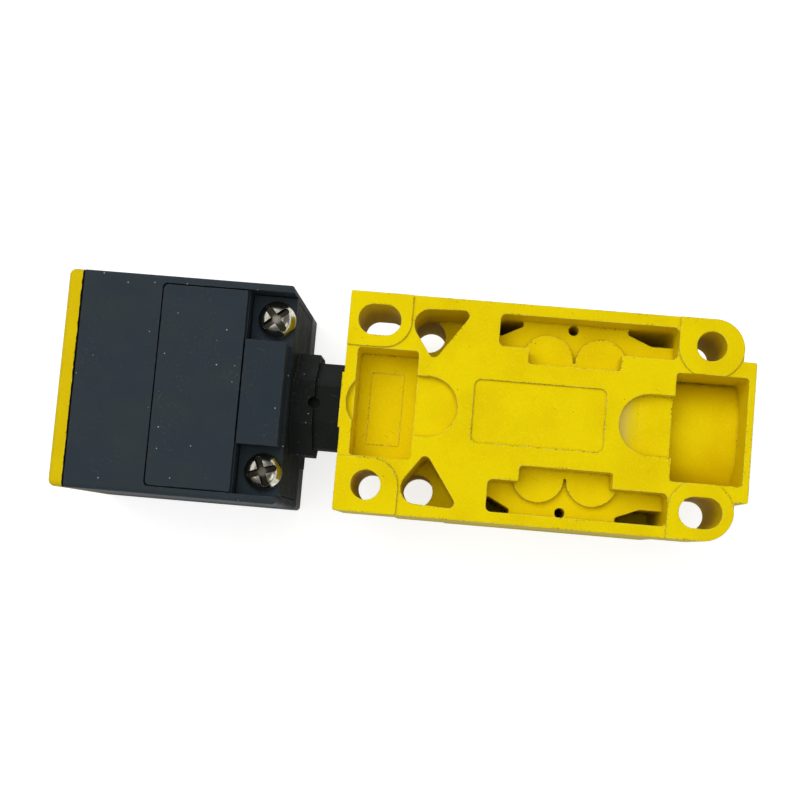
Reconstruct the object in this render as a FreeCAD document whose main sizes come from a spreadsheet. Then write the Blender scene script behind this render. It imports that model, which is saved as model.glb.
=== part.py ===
import FreeCAD, Part
import math
import os
import re

# Box-type inductive proximity sensor. +X runs from the sensing face to the cable entry and +Z out of the
# mounting face. The origin is under the middle of the fixing holes, on the plane of the terminal cover.

doc = FreeCAD.newDocument("ProximitySensor")
sheet = doc.addObject("Spreadsheet::Sheet", "Sizes")

# Driving dimensions in millimetres
sizes = {
    # section that the base and the head share
    "section_height": 40, "section_width": 40,
    # base housing
    "left_margin": 5.6, "ear_margin": 5.9, "ear_thickness": 21, "ear_round": 5.4, "base_corner": 0.4,
    "nose_reach": 2.4, "nose_width": 25.4, "nose_corner": 0.4, "tower_length": 19.6,
    "tower_width": 20.6, "chamber_setback": 11.1, "chamber_side": 7.4, "chamber_corner": 2, "end_wall": 2.4,
    "ceiling_rise": 11, "stop_height": 0.35, "stop_width": 10, "gland_bore_diameter": 18.5,
    "gland_tube_diameter": 24,
    # fixing holes and the raised pads around them
    "hole_spacing_x": 60, "hole_spacing_y": 30, "hole_diameter": 5.4, "slot_length": 7.8,
    "slot_width": 5.6, "driver_diameter": 9.2, "second_hole_setback": 14.3, "second_hole_spacing": 29.7,
    "second_hole_diameter": 6.2, "second_hole_wall": 0.8, "pad_step": 0.4, "left_pad_length": 11.4,
    "left_pad_gap": 20.2, "left_pad_round": 5,
    # pockets of the mounting face
    "socket_recess_wall": 2.1, "socket_recess_length": 11.1, "socket_recess_width": 19.7,
    "socket_roof": 1.45, "recess_corner": 0.6, "stadium_wall": 0.7, "stadium_length": 20.25,
    "stadium_width": 11.05, "stadium_depth": 2.2, "corner_floor": 6.2, "corner_pocket_inset": 0.25,
    "corner_pocket_shift": 0.45, "corner_pocket_apex": 1.6,
    "corner_pocket_apex_y": 10, "corner_pocket_reach": 6.4, "corner_pocket_edge": 3.05,
    "pocket_corner": 1, "side_pocket_left": 8.2, "side_pocket_setback": 11.85, "side_wall": 2.05,
    "side_pocket_width": 5.9, "pocket_floor": 2, "ledge_left": 2.7, "ledge_right": 14.1,
    "ledge_width": 2.85, "ledge_step": 1.5, "lobe_radius": 4.7, "lobe_first_x": 1,
    "lobe_second_x": 10.85, "lobe_offset": 1.5, "lobe_notch": 1.2, "lobe_root": 2, "core_floor": 14,
    "core_corner": 0.4, "core_tip_width": 0.75, "left_core_length": 4.4, "left_core_width": 3,
    "right_core_length": 8.45, "right_core_flat": 4, "right_core_width": 2.85, "label_length": 23.9,
    "label_width": 11.5, "label_depth": 0.4, "label_corner": 1.2, "entry_recess_setback": 11.8,
    "entry_recess_wall": 1.2, "entry_recess_width": 19.6, "scoop_length": 9.7, "scoop_width": 11.16,
    "scoop_depth": 3, "scoop_ramp": 4.2, "sweep_bite": 0.02,
    # terminal cover
    "cover_wall": 2, "cover_gap": 0.1, "cover_round": 1.4, "gasket_width": 1.2, "gasket_height": 1,
    "gasket_margin": 0.6, "gasket_clearance": 0.05, "cover_screw_x": 5.5, "cover_screw_edge": 3.05,
    "cover_screw_diameter": 2.9, "cover_screw_length": 10, "cover_head_diameter": 4.9,
    "cover_head_height": 2, "cover_head_sink": 0.8, "cover_head_room": 0.2, "washer_thickness": 0.5,
    "cover_hole_clearance": 0.25, "insert_diameter": 4.4, "insert_length": 6, "insert_clearance": 0.05,
    "screw_end_room": 0.5, "vent_diameter": 1.9, "plate_length": 30, "plate_height": 14,
    "label_plate_thickness": 0.5, "plate_clearance": 0.05, "cover_cross_angle": 30,
    # terminal block
    "block_gap": 11.1, "block_length": 11, "block_foot": 8, "foot_thickness": 2.5, "block_height": 9,
    "block_clearance": 0.3, "block_cheek": 1.5, "clamp_length": 8.5, "clamp_spacing": 1,
    "clamp_height": 5.8, "clamp_floor": 1.6, "clamp_inset": 1, "clamp_clearance": 0.1, "clamp_window": 2.8,
    "clamp_wall": 1.4, "terminal_screw_inset": 5.5, "terminal_screw_diameter": 2.4,
    "terminal_screw_reach": 3.6, "terminal_head_diameter": 4.2,
    "terminal_head_height": 1.4, "block_screw_inset": 3, "block_screw_spacing": 10,
    "block_screw_diameter": 1.9, "block_head_diameter": 3.8, "block_head_height": 1.4,
    "block_screw_bite": 2.4, "thread_clearance": 0.05, "terminal_cross_step": 15, "block_cross_angle": 45,
    # neck, bush and seals
    "slide_travel": 5.8, "seat_gap": 0.05, "collar_flats": 19.5, "collar_length": 4.1, "neck_flats": 16.5,
    "neck_entry": 5.4, "mouth_clearance": 0.22, "socket_clearance": 0.15, "neck_pin_diameter": 2.1,
    "neck_pin_depth": 3, "journal_diameter": 12, "journal_overhang": 1.4, "neck_bore_diameter": 7,
    "bush_diameter": 16, "bush_clearance": 0.1, "bush_flange_diameter": 19.2, "bush_flange_thickness": 1.5,
    "bush_end_gap": 0.1, "ring_thickness": 1, "ring_diameter": 15.4, "ring_groove_depth": 0.8,
    "ring_mouth": 6, "ring_clearance": 0.05, "seal_thickness": 1, "seal_clearance": 0.05,
    "bush_seal_place": 8.5, "swivel_seal_place": 11,
    # sensing head
    "head_length": 41.6, "head_round": 0.8, "head_wall": 2.2, "head_roof": 3,
    "cap_thickness": 2.7, "cap_round": 1.2, "joint_thickness": 0.3, "joint_inset": 0.6,
    "skirt_length": 4, "skirt_wall": 1.5, "skirt_clearance": 0.15, "side_plate_length": 15.9,
    "bracket_pocket": 8.2, "side_rail": 1.4, "side_plate_thickness": 1.6,
    "side_plate_clearance": 0.25, "side_plate_ledge": 1.6, "side_plate_corner": 0.8, "drop_wall": 1.8,
    # neck bracket in the head
    "tongue_gap": 1.1, "tongue_setback": 0.6, "flange_depth": 5.4, "flange_thickness": 3,
    "bracket_clearance": 0.1, "stem_thickness": 4.5, "stem_drop": 9, "rear_plate_width": 36,
    "rear_plate_thickness": 0.8, "rear_plate_gap": 0.2, "head_screw_inset": 3.4, "head_screw_edge": 5.9,
    "head_screw_diameter": 3.4, "head_screw_length": 14, "screw_head_diameter": 7, "screw_head_height": 2.6,
    "screw_boss_diameter": 6, "screw_boss_length": 16, "upper_cross_angle": 40, "lower_cross_angle": 20,
    "cross_width": 0.18, "cross_depth": 1.1, "cross_span": 0.62, "dome_share": 0.8,
    # coil and electronics
    "core_room": 2.4, "core_length": 9, "core_post_diameter": 11, "core_rim": 2.5, "core_back_wall": 2.5,
    "core_clearance": 0.15, "locating_ring_wall": 1.2, "locating_ring_length": 3, "former_wall": 0.8,
    "winding_depth": 2.2, "carrier_thickness": 2, "carrier_opening": 9, "rail_width": 2, "rail_height": 5.8,
    "rail_end_gap": 7, "board_thickness": 1.6, "board_clearance": 0.2, "chip_length": 6, "chip_width": 5,
    "chip_height": 1.6, "capacitor_diameter": 5, "capacitor_height": 7, "board_margin": 1,
    "part_gap": 2.5, "led_length": 2, "led_height": 1,
    "window_length": 4.2, "window_width": 8.5, "window_height": 8, "window_clearance": 0.1,
    # wires
    "wire_diameter": 1.3, "wire_spacing": 1.8, "wire_bend": 3, "near_wire_reach": 6, "far_wire_reach": 10,
    "wire_stub": 0.5, "grommet_wall": 1.1, "grommet_flange": 1, "grommet_length": 4.5,
    "grommet_clearance": 0.15, "lead_straight": 2, "lead_bend": 1.4, "lead_grip": 3,
}

# The neck is an octagon, and each cut runs a little past the face that it opens
facets = 8
half_facet = 180 / facets
overrun = 1

# Places worked out from the driving dimensions
places = {
    "mount_height": "section_height",
    "axis_height": "section_height / 2",
    "half_width": "section_width / 2",
    "split_height": "axis_height - gland_tube_diameter / 2",
    "face_height": "mount_height - pad_step",
    "ear_bottom": "mount_height - ear_thickness",
    "base_left": "hole_spacing_x / 2 + left_margin",
    "ear_end": "hole_spacing_x / 2 + ear_margin",
    "nose_end": "ear_end + nose_reach",
    "chamber_left": "base_left - tower_length",
    "chamber_right": "ear_end - chamber_setback",
    "chamber_start": "end_wall - chamber_left",
    "chamber_end": "chamber_right - end_wall",
    "chamber_width": "section_width - 2 * chamber_side",
    "ceiling_height": "axis_height + ceiling_rise",
    "side_floor": "ceiling_height + pocket_floor",
    "ledge_floor": "side_floor + ledge_step",
    "second_hole_x": "base_left - second_hole_setback",
    "socket_recess_left": "base_left - socket_recess_wall",
    "stadium_left": "base_left - stadium_wall",
    "side_pocket_right": "ear_end - side_pocket_setback",
    "side_pocket_outer": "half_width - side_wall",
    "side_pocket_inner": "side_pocket_outer - side_pocket_width",
    "ledge_inner": "side_pocket_inner - ledge_width",
    "lobe_y": "ledge_inner + lobe_offset",
    "notch_x": "(lobe_first_x + lobe_second_x) / 2",
    "entry_recess_left": "ear_end - entry_recess_setback",
    "entry_recess_right": "nose_end - entry_recess_wall",
    "scoop_left": "entry_recess_left - scoop_length",
    "scoop_fall": "scoop_depth - pad_step",
    "scoop_sweep": "(scoop_ramp * scoop_ramp + scoop_fall * scoop_fall) / (2 * scoop_fall)",
    "cover_screw_y": "half_width - cover_screw_edge",
    "cover_top": "split_height - cover_gap",
    "neck_corner": f"neck_flats / 2 / cos({half_facet} deg)",
    "mouth_radius": "neck_corner + mouth_clearance",
    "collar_face": "-(base_left + stop_height + slide_travel + seat_gap)",
    "neck_end": "neck_entry - base_left",
    "mouth_end": "neck_end + bush_end_gap",
    "socket_floor": "axis_height + mouth_radius + socket_roof",
    "socket_end": "mouth_end + slide_travel",
    "bush_start": "neck_end + bush_end_gap",
    "bush_seat": "chamber_start + seat_gap",
    "bush_end": "bush_seat + bush_flange_thickness",
    "ring_start": "bush_end + bush_end_gap",
    "journal_end": "ring_start + ring_thickness + journal_overhang",
    "head_rear": "collar_face - collar_length",
    "head_front": "head_rear - head_length",
    "head_bottom": "axis_height - section_height / 2",
    "head_top": "axis_height + section_height / 2",
    "cap_back": "head_front + cap_thickness",
    "shell_front": "cap_back + joint_thickness",
    "pocket_front": "head_rear - bracket_pocket",
    "side_plate_width": "section_width - 2 * side_rail",
    "head_screw_y": "half_width - head_screw_edge",
    "tongue_width": "2 * (head_screw_y - tongue_gap) - screw_head_diameter",
    "stem_width": "2 * (head_screw_y - bracket_clearance) - screw_boss_diameter",
    "flange_top": "head_top - flange_depth",
    "flange_bottom": "flange_top - flange_thickness",
    "stem_front": "head_rear - stem_thickness",
    "cavity_width": "section_width - 2 * head_wall",
    "cavity_height": "section_height - head_wall - head_roof",
    "core_diameter": "min(cavity_width; cavity_height) - 2 * core_room",
    "core_back": "cap_back + core_length",
    "carrier_back": "core_back + carrier_thickness",
    "rail_top": "head_bottom + head_wall + rail_height",
    "rail_end": "head_rear - rail_end_gap",
    "board_top": "rail_top + board_thickness",
    "capacitor_y": "cavity_width / 2 - board_margin - capacitor_diameter / 2",
    "chip_y": "capacitor_y - capacitor_diameter / 2 - part_gap - chip_width / 2",
    "block_start": "chamber_start + block_gap",
    "block_width": "chamber_width - 2 * block_clearance",
    "terminal_pitch": "block_width / 4 - block_cheek / 2",
    "clamp_width": "terminal_pitch - clamp_spacing",
    "clamp_seat": "ceiling_height - block_height + clamp_floor",
    "block_bottom": "ceiling_height - block_height",
    "block_end": "block_start + block_length",
    "foot_end": "block_end + block_foot",
    "clamp_start": "block_start + clamp_inset",
    "clamp_end": "clamp_start + clamp_length",
    "clamp_top": "clamp_seat + clamp_height",
    "clamp_window_top": "clamp_top - clamp_wall",
    "clamp_window_floor": "clamp_window_top - clamp_window",
}

row = 0
for name, text in [(n, str(v)) for n, v in sizes.items()] + [(n, f"={v}") for n, v in places.items()]:
    row += 1
    sheet.set(f"A{row}", name)
    sheet.set(f"B{row}", text)
    sheet.setAlias(f"B{row}", name)
doc.recompute()

known = {*sizes, *places}
along_x = FreeCAD.Rotation(FreeCAD.Vector(0, 1, 0), 90)
along_y = FreeCAD.Rotation(FreeCAD.Vector(1, 0, 0), -90)
along_z = FreeCAD.Rotation()
flat_up = FreeCAD.Rotation(FreeCAD.Vector(0, 0, 1), half_facet)
nodes = {}


def number(name):
    return float(sheet.get(name))


def bind(text):
    return re.sub(r"[a-z]\w*", lambda word: f"Sizes.{word[0]}" if word[0] in known else word[0], text)


def place(item, turn, at):
    item.Placement = FreeCAD.Placement(FreeCAD.Vector(), turn)
    for letter, text in zip("xyz", at):
        item.setExpression(f"Placement.Base.{letter}", bind(text))


def across(width):
    return f"-({width}) / 2", f"({width}) / 2"


def box(name, x, y, z):
    item = doc.addObject("Part::Box", name)
    for side, (low, high) in zip(("Length", "Width", "Height"), (x, y, z)):
        item.setExpression(side, bind(f"({high}) - ({low})"))
    place(item, along_z, (x[0], y[0], z[0]))
    return item


def rod_x(name, x, diameter, y="0", z="axis_height"):
    item = doc.addObject("Part::Cylinder", name)
    item.setExpression("Radius", bind(f"({diameter}) / 2"))
    item.setExpression("Height", bind(f"({x[1]}) - ({x[0]})"))
    place(item, along_x, (x[0], y, z))
    return item


def rod_z(name, at, diameter, z):
    item = doc.addObject("Part::Cylinder", name)
    item.setExpression("Radius", bind(f"({diameter}) / 2"))
    item.setExpression("Height", bind(f"({z[1]}) - ({z[0]})"))
    place(item, along_z, (*at, z[0]))
    return item


def octagon_x(name, x, flats):
    item = doc.addObject("Part::Prism", name)
    item.Polygon = facets
    item.setExpression("Circumradius", bind(f"({flats}) / 2 / cos({half_facet} deg)"))
    item.setExpression("Height", bind(f"({x[1]}) - ({x[0]})"))
    place(item, along_x.multiply(flat_up), (x[0], "0", "axis_height"))
    return item


def torus_x(name, x, ring_radius, section_radius):
    item = doc.addObject("Part::Torus", name)
    item.setExpression("Radius1", bind(ring_radius))
    item.setExpression("Radius2", bind(section_radius))
    place(item, along_x, (x, "0", "axis_height"))
    return item


# A prism whose outline runs round circles given anticlockwise as (x, y, radius)
def outline(name, circles, z, at=("0", "0"), turn=0):
    edges = []
    normals = []
    count = len(circles)
    for i, (x, y, radius) in enumerate(circles):
        next_x, next_y, next_radius = circles[(i + 1) % count]
        reach = math.hypot(next_x - x, next_y - y)
        lean = math.asin((radius - next_radius) / reach)
        normals.append(math.atan2(next_y - y, next_x - x) - math.pi / 2 + lean)
    for i, (x, y, radius) in enumerate(circles):
        next_x, next_y, next_radius = circles[(i + 1) % count]
        start = normals[i - 1]
        end = start + (normals[i] - start) % (2 * math.pi)
        round_corner = Part.Circle(FreeCAD.Vector(x, y, 0), FreeCAD.Vector(0, 0, 1), radius)
        edges.append(Part.ArcOfCircle(round_corner, start, end))
        side = FreeCAD.Vector(math.cos(normals[i]), math.sin(normals[i]), 0)
        first = FreeCAD.Vector(x, y, 0) + side * radius
        last = FreeCAD.Vector(next_x, next_y, 0) + side * next_radius
        edges.append(Part.LineSegment(first, last))
    sketch = doc.addObject("Sketcher::SketchObject", f"{name}Sketch")
    sketch.addGeometry(edges)
    place(sketch, FreeCAD.Rotation(FreeCAD.Vector(0, 0, 1), turn), (*at, z[0]))
    item = doc.addObject("Part::Extrusion", name)
    item.Base = sketch
    item.DirMode = "Normal"
    item.Solid = True
    item.setExpression("LengthFwd", bind(f"({z[1]}) - ({z[0]})"))
    return item


def slab(name, x, y, radius, z):
    low_x, high_x = x[0] + radius, x[1] - radius
    low_y, high_y = y[0] + radius, y[1] - radius
    corners = [(low_x, low_y), (high_x, low_y), (high_x, high_y), (low_x, high_y)]
    return outline(name, [(*corner, radius) for corner in corners], z)


def fuse(name, items):
    item = doc.addObject("Part::MultiFuse", name)
    item.Shapes = items
    item.Refine = True
    return item


def cut(name, base, tools):
    item = doc.addObject("Part::Cut", name)
    item.Base = base
    item.Tool = tools[0] if len(tools) == 1 else fuse(f"{name}Tools", tools)
    item.Refine = True
    return item


def group(name, items):
    item = doc.addObject("Part::Compound", name)
    item.Links = items
    return item


def mirrored(item):
    copy = doc.addObject("Part::Mirroring", f"{item.Name}Mirror")
    copy.Source = item
    copy.Normal = FreeCAD.Vector(0, 1, 0)
    return copy


def both_sides(items):
    return items + [mirrored(item) for item in items]


def rounded(item, radius, wanted):
    doc.recompute()
    chosen = [n for n, edge in enumerate(item.Shape.Edges, 1) if wanted(edge)]
    fillet = doc.addObject("Part::Fillet", f"{item.Name}Rounded")
    fillet.Base = item
    fillet.Edges = [(n, number(radius), number(radius)) for n in chosen]
    return fillet


def runs_along(edge, letter):
    return abs(getattr(edge.tangentAt(edge.FirstParameter), letter)) > 0.999


def lies_at(edge, letter, level):
    return all(abs(getattr(v.Point, letter) - level) < 1e-6 for v in edge.Vertexes)


def node(name, item):
    item.Label = name
    nodes[name] = item


# Round wires: straight runs joined by arcs that touch both runs
def wire_run(points, bend, radius):
    points = [FreeCAD.Vector(*p) for p in points]
    edges = []
    start = points[0]
    for before, corner, after in zip(points, points[1:], points[2:]):
        back = (before - corner).normalize()
        on = (after - corner).normalize()
        half = back.getAngle(on) / 2
        run = bend / math.tan(half)
        middle = corner + (back + on).normalize() * (bend / math.sin(half) - bend)
        edges.append(Part.LineSegment(start, corner + back * run).toShape())
        edges.append(Part.Arc(corner + back * run, middle, corner + on * run).toShape())
        start = corner + on * run
    edges.append(Part.LineSegment(start, points[-1]).toShape())
    section = Part.Circle(points[0], points[1] - points[0], radius)
    return Part.Wire(edges).makePipeShell([Part.Wire(section.toShape())], True, True)


# Screws along Z with a rounded head and a cross recess; the shank runs up or down from the seat
def cross_screw(name, at, seat, shank_up, head, shank, cross_angle):
    head_diameter, head_height = head
    shank_diameter, shank_length = shank
    shank_span = (seat, f"{seat} + {shank_length}") if shank_up else (f"{seat} - {shank_length}", seat)
    head_span = (f"{seat} - {head_height}", seat) if shank_up else (seat, f"{seat} + {head_height}")
    crown = head_span[0] if shank_up else head_span[1]
    disc = rod_z(f"{name}Disc", at, head_diameter, head_span)
    doc.recompute()
    level = disc.Shape.BoundBox.ZMin if shank_up else disc.Shape.BoundBox.ZMax
    dome = doc.addObject("Part::Fillet", f"{name}Dome")
    dome.Base = disc
    soft = number("dome_share") * disc.Height.Value
    dome.Edges = [(n, soft, soft) for n, e in enumerate(disc.Shape.Edges, 1) if lies_at(e, "z", level)]
    half_width = disc.Radius.Value * number("cross_width")
    half_span = disc.Radius.Value * number("cross_span")
    deep = (crown, f"{crown} + cross_depth") if shank_up else (f"{crown} - cross_depth", crown)
    bar = [(-half_span, 0, half_width), (half_span, 0, half_width)]
    bars = [outline(f"{name}Bar{turn}", bar, deep, at, cross_angle + turn) for turn in (0, 90)]
    stem = rod_z(f"{name}Shank", at, shank_diameter, shank_span)
    return cut(name, fuse(f"{name}Blank", [dome, stem]), bars)


half_width = number("half_width")
above = f"mount_height + {overrun}"
below = f"-{overrun}"

# Base housing: ears and slab at the mounting face, the terminal chamber, the neck tower and the entry nose
corner = number("base_corner")
ear = number("ear_round")
slab_left = corner - number("base_left")
slab_right = number("ear_end") - ear
base_slab = outline(
    "BaseSlab",
    [
        (slab_left, corner - half_width, corner),
        (slab_right, ear - half_width, ear),
        (slab_right, half_width - ear, ear),
        (slab_left, half_width - corner, corner),
    ],
    ("ear_bottom", "face_height"),
)
nose = rounded(
    box("NoseBlock", ("chamber_end", "nose_end"), across("nose_width"), ("axis_height", "face_height")),
    "nose_corner",
    lambda edge: runs_along(edge, "z") and lies_at(edge, "x", number("nose_end")),
)
nose_barrel = rod_x("NoseBarrel", ("chamber_right", "nose_end"), "nose_width")
chamber_block = slab(
    "ChamberBlock",
    (-number("chamber_left"), number("chamber_right")),
    (-half_width, half_width),
    corner,
    ("split_height", f"ear_bottom + {overrun}"),
)
tower = rounded(
    box("NeckTower", ("-base_left", "-chamber_left + end_wall"), across("tower_width"),
        ("split_height", f"ear_bottom + {overrun}")),
    "base_corner",
    lambda edge: runs_along(edge, "z") and lies_at(edge, "x", -number("base_left")),
)
second_block = box(
    "SecondHoleBlock",
    ("-second_hole_x - second_hole_diameter / 2 - second_hole_wall", "-chamber_left + base_corner"),
    ("tower_width / 2 - base_corner", "half_width"),
    ("split_height", f"ear_bottom + {overrun}"),
)
stop_band = box("StopBand", ("-base_left - stop_height", "-base_left + base_corner"), across("stop_width"),
                ("split_height", "face_height"))

# Raised pads round the four fixing holes
pad_span = (f"face_height - {overrun}", "mount_height")
pad_left = -number("base_left")
pad_right = pad_left + number("left_pad_length")
pad_low = number("left_pad_gap") / 2
pad_round = number("left_pad_round")
left_pad = outline(
    "LeftPad",
    [
        (pad_left + corner, pad_low + corner, corner),
        (pad_right - pad_round, pad_low + pad_round, pad_round),
        (pad_right - corner, half_width - corner, corner),
        (pad_left + corner, half_width - corner, corner),
    ],
    pad_span,
)
hole_x = number("hole_spacing_x") / 2
hole_y = number("hole_spacing_y") / 2
pad_radius = number("ear_margin")
right_pad_blank = outline(
    "RightPadBlank",
    [
        (hole_x, hole_y, pad_radius),
        (hole_x, half_width + pad_radius, pad_radius),
    ],
    pad_span,
)
right_pad = doc.addObject("Part::Common", "RightPad")
right_pad.Base = right_pad_blank
right_pad.Tool = outline(
    "EarLimit",
    [
        (0, 0, corner),
        (slab_right, half_width - ear, ear),
        (0, half_width - corner, corner),
    ],
    pad_span,
)
base_blank = fuse(
    "BaseBlank",
    [base_slab, nose, nose_barrel, chamber_block, tower, stop_band]
    + both_sides([left_pad, right_pad, second_block]),
)

# Holes and slots through the ears, with room under them for a screw head and a driver
slot_reach = (number("slot_length") - number("slot_width")) / 2
slot = [(-slot_reach, 0, number("slot_width") / 2), (slot_reach, 0, number("slot_width") / 2)]
through = (below, above)
base_tools = []
for side_x, side_y, kind in [(-1, -1, "Round"), (1, 1, "Round"), (-1, 1, "Slot"), (1, -1, "Slot")]:
    at = (f"{side_x} * hole_spacing_x / 2", f"{side_y} * hole_spacing_y / 2")
    tag = f"{kind}{'Left' if side_x < 0 else 'Right'}"
    if kind == "Round":
        base_tools.append(rod_z(f"FixingHole{tag}", at, "hole_diameter", through))
    else:
        base_tools.append(outline(f"FixingSlot{tag}", slot, through, at))
    base_tools.append(rod_z(f"DriverRoom{tag}", at, "driver_diameter", (below, "ear_bottom")))

# Pockets of the mounting face, along the middle
recess_corner = number("recess_corner")
socket_half = number("socket_recess_width") / 2
base_tools.append(slab(
    "SocketRecess",
    (-number("socket_recess_left"), number("socket_recess_length") - number("socket_recess_left")),
    (-socket_half, socket_half),
    recess_corner,
    ("socket_floor", above),
))
stadium_radius = number("stadium_width") / 2
stadium_start = -number("stadium_left")
base_tools.append(outline(
    "Stadium",
    [
        (stadium_start + stadium_radius, 0, stadium_radius),
        (stadium_start + number("stadium_length") - stadium_radius, 0, stadium_radius),
    ],
    ("mount_height - stadium_depth", above),
))
label_x = number("label_length") / 2
label_y = number("label_width") / 2
base_tools.append(slab(
    "LabelRecess",
    (-label_x, label_x),
    (-label_y, label_y),
    number("label_corner"),
    ("face_height - label_depth", above),
))
scoop_radius = number("scoop_width") / 2
scoop = outline(
    "ScoopBlank",
    [
        (number("scoop_left") + scoop_radius, 0, scoop_radius),
        (number("entry_recess_left") + scoop_radius, 0, scoop_radius),
    ],
    ("mount_height - scoop_depth", above),
)
ramp_x = ("scoop_left", "scoop_left + scoop_ramp")
ramp_block = box("ScoopRampBlock", ramp_x, across("2 * scoop_width"), ("mount_height - scoop_depth", above))
sweep = rod_z("ScoopSweep", ("0", "0"), "2 * scoop_sweep", ("-scoop_width", "scoop_width"))
place(sweep, along_y, (ramp_x[1], "-scoop_width", "mount_height - scoop_depth + scoop_sweep - sweep_bite"))
ramp = cut("ScoopRamp", ramp_block, [sweep])
base_tools.append(cut("Scoop", scoop, [ramp]))
entry_half = number("entry_recess_width") / 2
entry_recess = slab(
    "EntryRecessBlank",
    (number("entry_recess_left"), number("entry_recess_right")),
    (-entry_half, entry_half),
    recess_corner,
    ("axis_height", above),
)
entry_tube = rod_x("EntryTube", ("0", "nose_end"), "gland_tube_diameter")
base_tools.append(cut("EntryRecess", entry_recess, [entry_tube]))

# Pockets in mirrored pairs: corner pockets with the second fixing holes, side pockets and their deep cores
second_x = -number("second_hole_x")
second_y = number("second_hole_spacing") / 2
corner_radius = number("second_hole_diameter") / 2 - number("corner_pocket_inset")
tip_y = half_width - number("corner_pocket_edge")
pocket_corner = number("pocket_corner")
core_corner = number("core_corner")
outer = number("side_pocket_outer")
pocket_left = -number("side_pocket_left")
core_tip_y = outer - number("core_tip_width")
left_core_tip = pocket_left + number("left_core_length") - core_corner
right_core_end = number("side_pocket_right")
right_core_tip = right_core_end - number("right_core_length") + core_corner
right_core_low = outer - number("right_core_width") + core_corner
pair_tools = [
    outline(
        "CornerPocket",
        [
            (second_x + number("corner_pocket_shift"), second_y, corner_radius),
            (second_x + number("corner_pocket_apex"), number("corner_pocket_apex_y"), pocket_corner),
            (second_x + number("corner_pocket_reach"), tip_y, pocket_corner),
        ],
        ("ear_bottom + corner_floor", above),
    ),
    rod_z("SecondHole", ("-second_hole_x", "second_hole_spacing / 2"), "second_hole_diameter",
          (below, "ear_bottom + corner_floor")),
    slab(
        "SidePocket",
        (pocket_left, number("side_pocket_right")),
        (number("side_pocket_inner"), outer),
        pocket_corner,
        ("side_floor", above),
    ),
    slab(
        "LedgePocket",
        (-number("ledge_left"), number("ledge_right")),
        (number("ledge_inner"), number("side_pocket_inner") + 2 * pocket_corner),
        recess_corner,
        ("ledge_floor", above),
    ),
    box(
        "LobeNotch",
        ("notch_x - lobe_notch / 2", "notch_x + lobe_notch / 2"),
        ("lobe_y", "side_pocket_inner + pocket_corner"),
        ("side_floor", above),
    ),
    outline(
        "LeftCore",
        [
            (pocket_left + core_corner, outer - number("left_core_width") + core_corner, core_corner),
            (left_core_tip, core_tip_y, core_corner),
            (left_core_tip, outer - core_corner, core_corner),
            (pocket_left + pocket_corner, outer - pocket_corner, pocket_corner),
        ],
        ("core_floor", above),
    ),
    outline(
        "RightCore",
        [
            (right_core_tip, core_tip_y, core_corner),
            (right_core_end - number("right_core_flat"), right_core_low, core_corner),
            (right_core_end - core_corner, right_core_low, core_corner),
            (right_core_end - pocket_corner, outer - pocket_corner, pocket_corner),
            (right_core_tip, outer - core_corner, core_corner),
        ],
        ("core_floor", above),
    ),
]
cover_screw_at = ("cover_screw_x", "cover_screw_y")
insert_end = "split_height + insert_length"
pair_tools += [
    rod_z("InsertHole", cover_screw_at, "insert_diameter + 2 * insert_clearance", (below, insert_end)),
    rod_z("VentHole", cover_screw_at, "vent_diameter", (below, above)),
    rod_z("ScrewEndRoom", cover_screw_at, "cover_screw_diameter + 2 * cover_hole_clearance",
          (below, f"{insert_end} + screw_end_room")),
]
base_tools += both_sides(pair_tools)

# Terminal chamber, cable entry, and the neck socket: round mouth, octagonal lock, round bore for the bush
chamber_half = number("chamber_width") / 2
base_tools += [
    slab(
        "Chamber",
        (number("chamber_start"), number("chamber_end")),
        (-chamber_half, chamber_half),
        number("chamber_corner"),
        (below, "ceiling_height"),
    ),
    rod_x("CableEntry", ("chamber_end - end_wall", f"nose_end + {overrun}"), "gland_bore_diameter"),
    rod_x("NeckMouth", (f"-base_left - stop_height - {overrun}", "mouth_end"), "2 * mouth_radius"),
    octagon_x("NeckSocket", (f"mouth_end - {overrun}", "socket_end"), "neck_flats + 2 * socket_clearance"),
    rod_x("BushBore", ("mouth_end", f"chamber_start + {overrun}"), "bush_diameter + 2 * bush_clearance"),
]
block_screw_at = ("foot_end - block_screw_inset", "block_screw_spacing / 2")
bite = "ceiling_height + block_screw_bite"
pilots = both_sides([
    rod_z("BlockPilot", block_screw_at, "block_screw_diameter + 2 * thread_clearance",
          (f"ceiling_height - {overrun}", f"{bite} + screw_end_room")),
])
base_cut = cut("BaseCut", base_blank, base_tools)
lobes = both_sides([
    rod_z(f"Lobe{i}", (f"lobe_{i}_x", "lobe_y"), "2 * lobe_radius",
          ("ledge_floor - lobe_root", "ledge_floor"))
    for i in ("first", "second")
])
node("base_housing", cut("BaseHousing", fuse("BaseLobes", [base_cut] + lobes), pilots))

# Brass inserts for the cover screws
inserts = both_sides([cut(
    "Insert",
    rod_z("InsertBlank", cover_screw_at, "insert_diameter", ("split_height", insert_end)),
    [rod_z("InsertBore", cover_screw_at, "cover_screw_diameter + 2 * insert_clearance", (below, above))],
)])
node("cover_inserts", group("CoverInserts", inserts))

# Terminal cover: a lid over the chamber with a tail under the neck tower
cover_span = ("0", "cover_top")
tower_half = number("tower_width") / 2
cover_blank = fuse("CoverBlank", [
    slab(
        "CoverLid",
        (-number("chamber_left"), number("chamber_right")),
        (-half_width, half_width),
        corner,
        cover_span,
    ),
    slab(
        "CoverTail",
        (-number("base_left"), number("chamber_start")),
        (-tower_half, tower_half),
        corner,
        cover_span,
    ),
])
cover_body = rounded(cover_blank, "cover_round", lambda edge: lies_at(edge, "z", 0))
gasket_in = number("gasket_margin")
gasket_out = gasket_in + number("gasket_width")


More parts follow.
